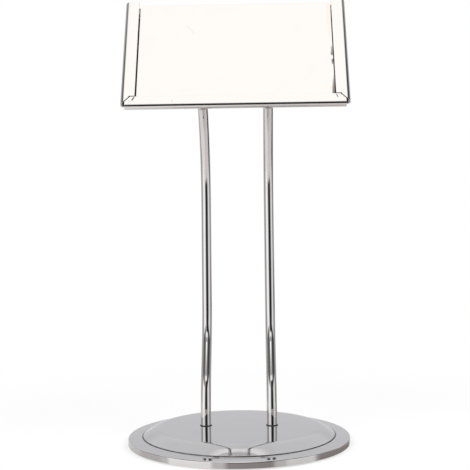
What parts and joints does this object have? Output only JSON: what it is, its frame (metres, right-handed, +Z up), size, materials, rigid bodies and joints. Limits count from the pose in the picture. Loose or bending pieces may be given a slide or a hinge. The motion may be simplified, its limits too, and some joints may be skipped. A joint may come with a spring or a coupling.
{
  "type": "table card holder",
  "caption": "Table card holder: a tilted folded-sheet frame, open at the top, on a pair of bent round stems over a weighted round base with a low dome.",
  "frame": {"origin": "centre of the base pad's underside, on the table", "axes": "+Z up, +X to the holder's right as a reader faces it, -Y towards the reader, so the card faces -Y and up"},
  "size_m": [0.157, 0.15, 0.3093],
  "materials": {
    "polished_frame": "mirror-polished stainless sheet",
    "polished_stems": "mirror-polished stainless bar",
    "polished_base": "mirror-polished pressed stainless sheet",
    "ballast_iron": "rough casting",
    "screw_steel": "zinc-plated steel",
    "ring_plastic": "black nylon",
    "pad_rubber": "matt non-slip sheet"
  },
  "bodies": {
    "root": {"card_frame": "polished_frame", "left_stem": "polished_stems", "right_stem": "polished_stems", "left_foot_ring": "ring_plastic", "right_foot_ring": "ring_plastic", "left_stem_screw": "screw_steel", "right_stem_screw": "screw_steel", "left_flat_washer": "screw_steel", "right_flat_washer": "screw_steel", "left_lock_washer": "screw_steel", "right_lock_washer": "screw_steel", "base_shell": "polished_base", "base_ballast": "ballast_iron", "base_pad": "pad_rubber"}
  },
  "joints": []
}
